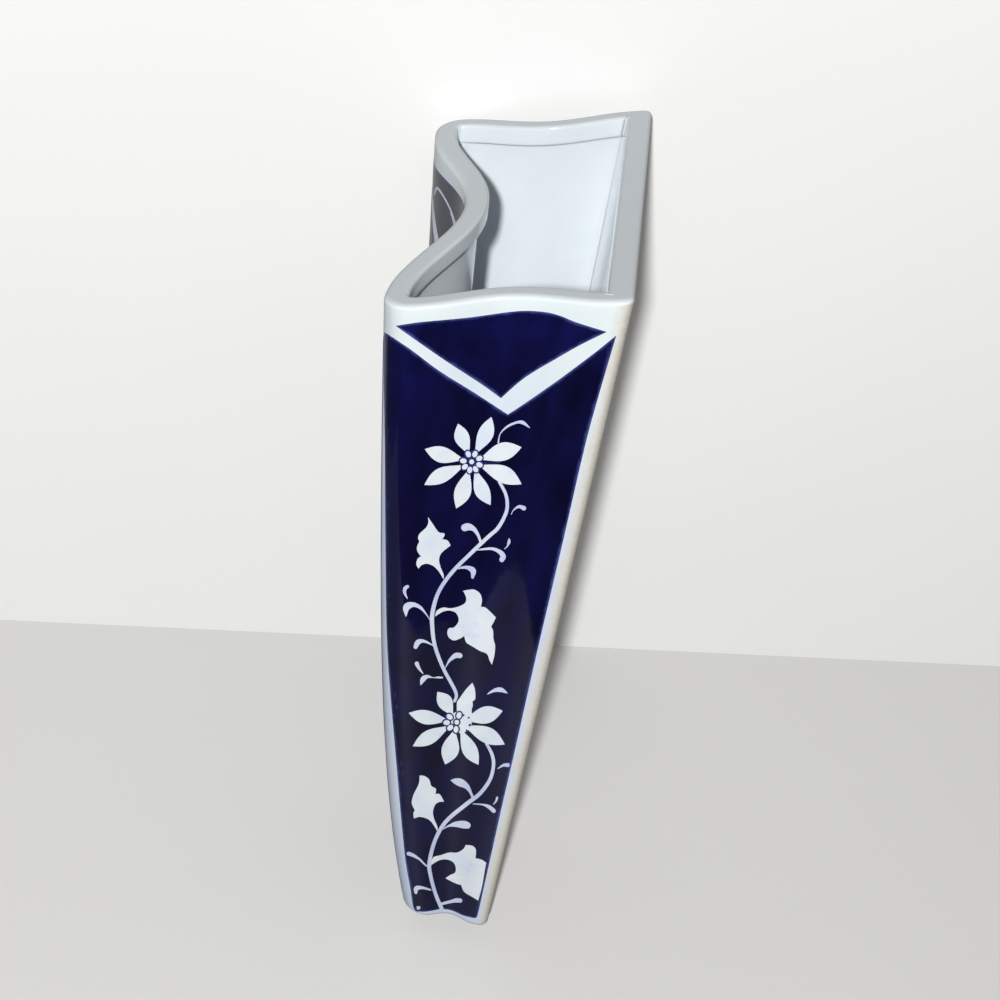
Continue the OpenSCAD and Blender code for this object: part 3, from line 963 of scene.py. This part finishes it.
# The front is turned away in the photograph. Its scroll is drawn here in the same hand, in the
# same steps as the side's; "scale" is the number of steps to a millimetre.
frontPlan = {
    "scale": 3.25, "border": 1.3, "fieldTop": 10.2, "fieldFoot": 221, "edgeSteps": 30, "heart": 10.5,
    "wobbles": ((0.25, 9), (0.15, 3.7)),
    "collar": [(-147, 25, 1), (-100, 19.5), (-50, 15), (0, 13), (50, 14.5), (100, 19), (147, 25, 1),
               (98, 66), (48, 109), (2, 150, 1), (-46, 111), (-98, 67)],
    "point": [(98, 84), (48, 128), (1, 171, 1), (-48, 130), (-98, 85)],
    "foot": [(34, 716), (12, 710), (-12, 711), (-36, 717)],
    "flowers": [
        {"middle": (-4, 240),
         "petals": [((13, 192), 16, 1), ((-31, 198), 16, -1), ((-58, 224), 17, -1), ((-55, 258), 16, 1),
                    ((-27, 288), 17, -1), ((11, 290), 16, 1), ((45, 266), 17, -1), ((48, 222), 18, -1)],
         "rings": [(8.4, angle) for angle in (-112, -66, -22, 22, 66, 110, 156, 200)]},
        {"middle": (30, 412),
         "petals": [((48, 366), 15, 1), ((6, 369), 15, -1), ((-19, 395), 16, -1), ((-17, 430), 15, 1),
                    ((10, 458), 16, -1), ((50, 457), 15, 1), ((78, 434), 17, -1), ((79, 394), 17, -1)],
         "rings": [(8.4, angle) for angle in (-100, -56, -12, 34, 80, 124, 168, 214)]},
        {"middle": (-14, 574),
         "petals": [((-8, 532), 14, 1), ((-44, 542), 14, -1), ((-60, 570), 15, -1), ((-46, 602), 14, 1),
                    ((-14, 618), 15, -1), ((20, 604), 14, 1), ((33, 570), 15, -1), ((20, 542), 14, -1)],
         "rings": [(8, angle) for angle in (-90, -40, 10, 62, 114, 166, 218)]},
        {"middle": (-2, 66),
         "petals": [((2, 31), 12, 1), ((-27, 42), 12, -1), ((-38, 66), 13, -1), ((-24, 92), 12, 1),
                    ((0, 104), 12, -1), ((22, 90), 12, 1), ((34, 64), 13, -1), ((24, 42), 12, -1)],
         "rings": [(7.4, angle) for angle in (-90, -40, 10, 62, 114, 166, 218)]},
    ],
    "stems": [
        [(24, 262, 3.2), (42, 276, 3.8), (50, 296, 4.2), (36, 318, 4.6), (2, 336, 4.6), (-34, 356, 4.6),
         (-56, 388, 4.8), (-56, 424, 4.8), (-38, 454, 4.6), (-8, 474, 4.6), (24, 488, 4.6), (46, 508, 4.6),
         (54, 538, 4.6), (48, 576, 4.6), (32, 608, 4.6), (15, 636, 4.8), (5, 666, 4.8), (6, 690, 4.6),
         (12, 709, 4.4)],
        [(14, 428, 3), (-14, 440, 3.2), (-36, 454, 3.6)],
        [(6, 588, 3), (22, 598, 3.2), (34, 605, 3.6)],
        [(2, 336, 3.4), (-36, 326, 3.6), (-66, 304, 3.2)],
        [(-56, 388, 3.2), (-70, 398, 3.2), (-76, 416, 3)],
        [(46, 508, 3.4), (64, 512, 3.2), (76, 504, 3)],
        [(-8, 60, 2), (-60, 38, 2.6), (-96, 34, 3), (-108, 44, 4)],
        [(6, 60, 2), (60, 38, 2.6), (96, 34, 3), (108, 44, 4)],
    ],
    "leaves": [  # which leaf, where its stalk stands, its turn, its size and its hand
        (0, (84, 314), 40, 1.2, 1), (1, (-66, 304), 196, 1.05, 1), (0, (-76, 416), 200, 0.85, 1),
        (2, (76, 504), 16, 0.95, 1),
    ],
    "curls": [  # where a curl springs, its turn, its size and its hand
        ((50, 300), -34, 1.2, 1), ((22, 326), -150, 1.1, 1), ((-46, 368), 150, 1.1, -1),
        ((-58, 404), 100, 1, 1), ((-26, 464), 60, 1, -1), ((36, 498), -60, 1.1, 1), ((54, 546), -10, 1, 1),
        ((42, 590), 20, 0.9, 1), ((24, 622), 10, 0.9, 1), ((6, 668), 170, 0.9, -1), ((6, 686), 0, 0.8, 1),
        ((44, 278), -70, 1, -1), ((-46, 320), 60, 1, 1), ((9, 652), 150, 1.1, -1),
        ((-62, 40), 60, 1, 1), ((62, 40), 120, 1, -1),
    ],
    "leafStalks": [(443.4, 579), (463, 590.7), (437.3, 831), (430.8, 865)],
    "curl": [(0, 0, 1), (5, -4.5, 2), (12, -7, 3.4), (19, -5, 5.6), (22, 0.5, 4)],
}


def moved(points, start, place, turn, size, hand):  # the points, set down with their start on a place
    a = math.radians(turn)
    result = []
    for p in points:
        x, y = (p[0] - start[0]) * size * hand, (p[1] - start[1]) * size
        result.append((place[0] + x * math.cos(a) - y * math.sin(a),
                       place[1] + x * math.sin(a) + y * math.cos(a), *p[2:]))
    return result


def frontFields():
    scale = frontPlan["scale"]
    steps = frontPlan["edgeSteps"]
    right = []
    for k in range(steps):
        y = blend(frontPlan["fieldTop"], frontPlan["fieldFoot"], k / (steps - 1))
        reach = frontReach(y / form["height"]) + frontPlan["border"]
        wobble = sum(size * math.sin(y / length) for size, length in frontPlan["wobbles"])
        right.append(((reach + wobble) * scale, y * scale))
    left = [(-x, y) for x, y in reversed(right)]
    right[0] = (*right[0], 1)
    left[-1] = (*left[-1], 1)
    return [frontPlan["collar"], right + frontPlan["foot"] + left + frontPlan["point"][::-1]]


def frontCurls():
    return [stroke(moved(frontPlan["curl"], (0, 0), *spring)) for spring in frontPlan["curls"]]


def frontLeaves():
    shapes = []
    for which, *setting in frontPlan["leaves"]:
        shapes.append(smoothOutline(moved(leaves[which], frontPlan["leafStalks"][which], *setting)))
    return shapes


def paintFront():
    petals, rings, ovals = [], [], []
    for flower in frontPlan["flowers"]:
        for made, group in zip(flowerShapes(flower), (petals, rings, ovals)):
            group += made
        petals.append(oval(flower["middle"], frontPlan["heart"], frontPlan["heart"]))
    drawn = {
        "field": [smoothOutline(field) for field in frontFields()],
        "curls": frontCurls(),
        "stems": [stroke(stem) for stem in frontPlan["stems"]],
        "leaves": frontLeaves(),
        "petals": petals,
        "rings": rings,
        "ovals": ovals,
    }
    scale = frontPlan["scale"]
    shapes = {}
    for name, outlines in drawn.items():
        shapes[name] = [[p / scale for p in outline] for outline in outlines]
    layPaint("Front", shapes, frontSkin, -1)


paintFront()
print("front painted")

# table and wall, as the vase stands in the photograph: on one edge of its foot, leaning on a corner
stage = {
    "footPoint": (-20.5, -3, -201.2), "cornerPoint": (-52.2, -50, 14),
    "tableUp": (0.168, -0.0032, 0.9858), "wallOut": (0.969, 0.1853, -0.165),
    "left": -210, "right": 300,
    "table": {"seen": (0.70, 0.695, 0.68), "bounced": (0.17, 0.17, 0.165), "roughness": 0.5,
              "reach": 250},
    "backdrop": {"seen": (0.92, 0.92, 0.905), "bounced": (0.45, 0.45, 0.44), "roughness": 0.8,
                 "reach": 320},
    "cloud": (9, 0.3, 0.7), "paler": 1.02, "glow": 0.10, "bumps": ((900, 0.01, (1, 1, 1)),),
}


def stageMaterial(name):  # pale to the camera, plainer to the vase, and clear from behind
    look = stage[name]
    material, tree, shader = newMaterial(name)
    paler = tuple(min(1, value * stage["paler"]) for value in look["seen"])
    seen = mixed(tree, patches(tree, stage["cloud"]), look["seen"], paler)
    cameraRay = tree.nodes.new("ShaderNodeLightPath").outputs["Is Camera Ray"]
    tree.links.new(mixed(tree, cameraRay, look["bounced"], seen), shader.inputs["Base Color"])
    shader.inputs["Roughness"].default_value = look["roughness"]
    roughen(tree, shader, stage["bumps"])
    shader.inputs["Emission Color"].default_value = (1, 1, 1, 1)
    glow = calc(tree, "MULTIPLY", cameraRay, stage["glow"])
    tree.links.new(glow, shader.inputs["Emission Strength"])
    clear = tree.nodes.new("ShaderNodeBsdfTransparent")
    side = tree.nodes.new("ShaderNodeNewGeometry")
    mix = tree.nodes.new("ShaderNodeMixShader")
    tree.links.new(side.outputs["Backfacing"], mix.inputs["Fac"])
    tree.links.new(shader.outputs["BSDF"], mix.inputs[1])
    tree.links.new(clear.outputs["BSDF"], mix.inputs[2])
    tree.links.new(mix.outputs["Shader"], tree.nodes["Material Output"].inputs["Surface"])
    return material


def makeStage():
    up = Vector(stage["tableUp"]).normalized()
    out = Vector(stage["wallOut"])
    out = (out - up * out.dot(up)).normalized()
    along = up.cross(out).normalized()
    foot = Vector(stage["footPoint"]) * mm
    corner = Vector(stage["cornerPoint"]) * mm
    line = corner + up * (foot - corner).dot(up)  # on the wall, at the table's height
    for name, away, facing in (("table", out, up), ("backdrop", up, out)):
        reach = stage[name]["reach"] * mm
        bm = bmesh.new()
        bmesh.ops.create_grid(bm, x_segments=2, y_segments=1, size=0.5)
        for vert in bm.verts:
            beside = blend(stage["left"], stage["right"], vert.co.x + 0.5) * mm
            vert.co = line + along * beside + away * ((vert.co.y + 0.5) * reach)
        piece = newPiece(name, bm, stageMaterial(name), smooth=False)
        if piece.data.polygons[0].normal.dot(facing) < 0:
            piece.data.flip_normals()


makeStage()
print("stage set")

# lamps in millimetres and watts
lights = {
    "aim": (0, -25, -80),
    "flash": {"place": (1216, -107, 634), "size": 56, "power": 20},
    "ceiling": {"place": (200, -300, 900), "size": 700, "power": 0.35},
    "room": (1, 0.95, 0.89, 1), "roomStrength": 0.07,
}


def makeLamp(name):
    look = lights[name]
    data = bpy.data.lights.new(name, "AREA")
    data.shape = "DISK"
    data.size = look["size"] * mm
    data.energy = look["power"]
    lamp = bpy.data.objects.new(name, data)
    bpy.context.scene.collection.objects.link(lamp)
    place = Vector(look["place"]) * mm
    aim = Vector(lights["aim"]) * mm
    lamp.location = place
    lamp.rotation_euler = (aim - place).to_track_quat("-Z", "Y").to_euler()


def makeLights():
    makeLamp("flash")
    makeLamp("ceiling")
    world = bpy.data.worlds.new("room")
    bpy.context.scene.world = world
    world.use_nodes = True
    back = world.node_tree.nodes["Background"]
    back.inputs["Color"].default_value = lights["room"]
    back.inputs["Strength"].default_value = lights["roomStrength"]


makeLights()
bpy.context.scene.view_settings.view_transform = "Standard"
print("lights set")
